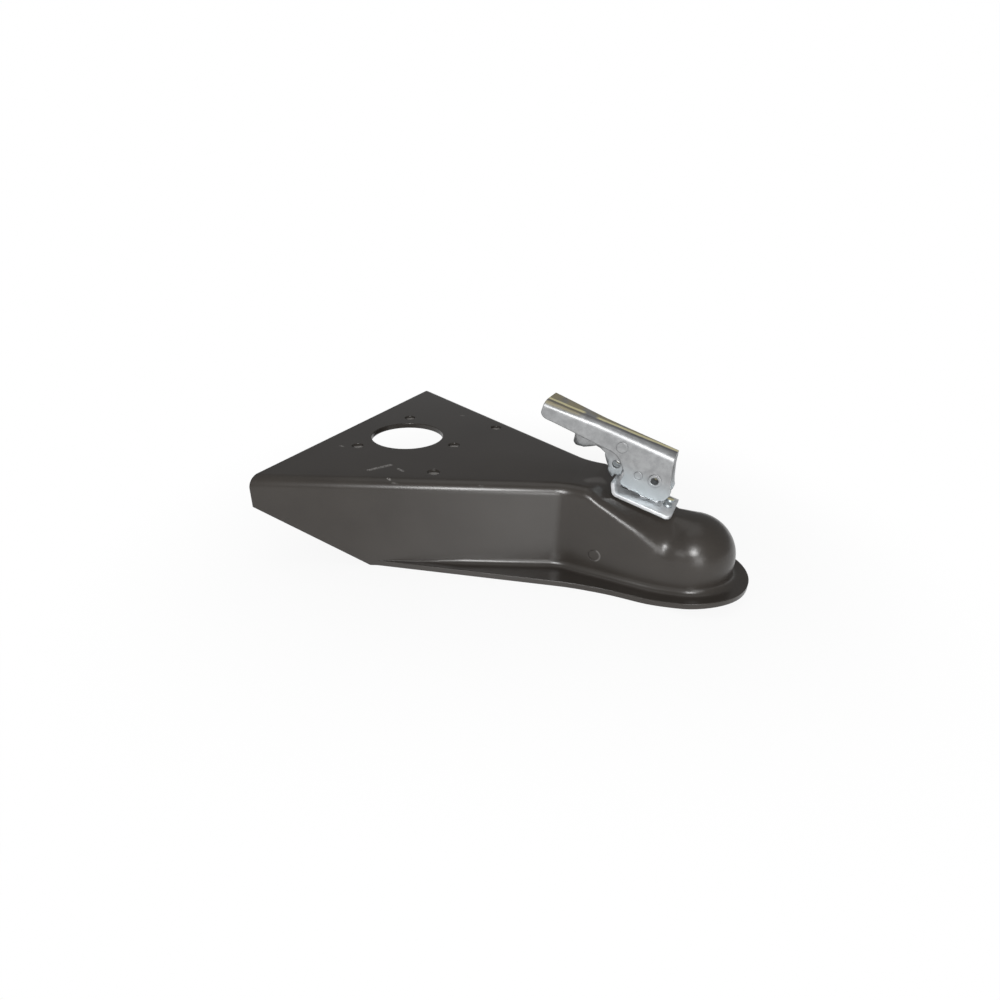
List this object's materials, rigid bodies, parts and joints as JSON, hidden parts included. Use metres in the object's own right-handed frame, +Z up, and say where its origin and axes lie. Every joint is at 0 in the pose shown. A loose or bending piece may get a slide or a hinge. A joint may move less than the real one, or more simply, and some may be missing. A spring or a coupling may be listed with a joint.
{
  "type": "trailer coupling head",
  "caption": "Stamped A-frame trailer coupling head with a domed ball socket, a flanged rim, a jack hole in its top plate and a plated lever latch with a finger trigger.",
  "frame": {"origin": "centre of the tow ball in the socket", "axes": "+X forwards out of the nose, +Z up through the jack hole, Y across"},
  "size_m": [0.395, 0.29, 0.146],
  "materials": {
    "black_paint": "semi-gloss black paint with light scuffs",
    "zinc_plate": "zinc plating with a faint yellow tint",
    "spring_steel": "plain spring wire",
    "cast_iron": "plain casting"
  },
  "bodies": {
    "coupler": {"coupler_body": "black_paint", "guide_pin": "black_paint", "latch_base": "zinc_plate", "base_rivets": "zinc_plate", "lever_pivot": "zinc_plate", "clamp_spring": "spring_steel"},
    "lever": {"latch_lever": "zinc_plate", "lift_pin": "zinc_plate", "trigger_rivet": "zinc_plate", "trigger_spring": "spring_steel"},
    "trigger": {"latch_trigger": "zinc_plate"},
    "clamp": {"ball_clamp": "cast_iron", "lift_bolt": "spring_steel", "adjusting_nut": "zinc_plate"}
  },
  "joints": [
    {"name": "lever_hinge", "type": "hinge", "parent": "coupler", "child": "lever", "pos_m": [-0.039, 0, 0.0625], "axis": [0, 1, 0], "range_deg": [0, 55], "deforming": ["clamp_spring"]},
    {"name": "trigger_hinge", "type": "hinge", "parent": "lever", "child": "trigger", "pos_m": [-0.06912, 0, 0.0861], "axis": [0, 1, 0], "range_deg": [0, 14], "stiffness_Nm_per_rad": 0.4, "springref_deg": -20.05},
    {"name": "clamp_hinge", "type": "hinge", "parent": "lever", "child": "clamp", "pos_m": [-0.05304, 0, 0.06419], "axis": [0, 1, 0], "range_deg": [-43, 0]}
  ],
  "couplings": [
    {"joint": "clamp_hinge", "follows": "lever_hinge", "ratio": -0.78182}
  ]
}
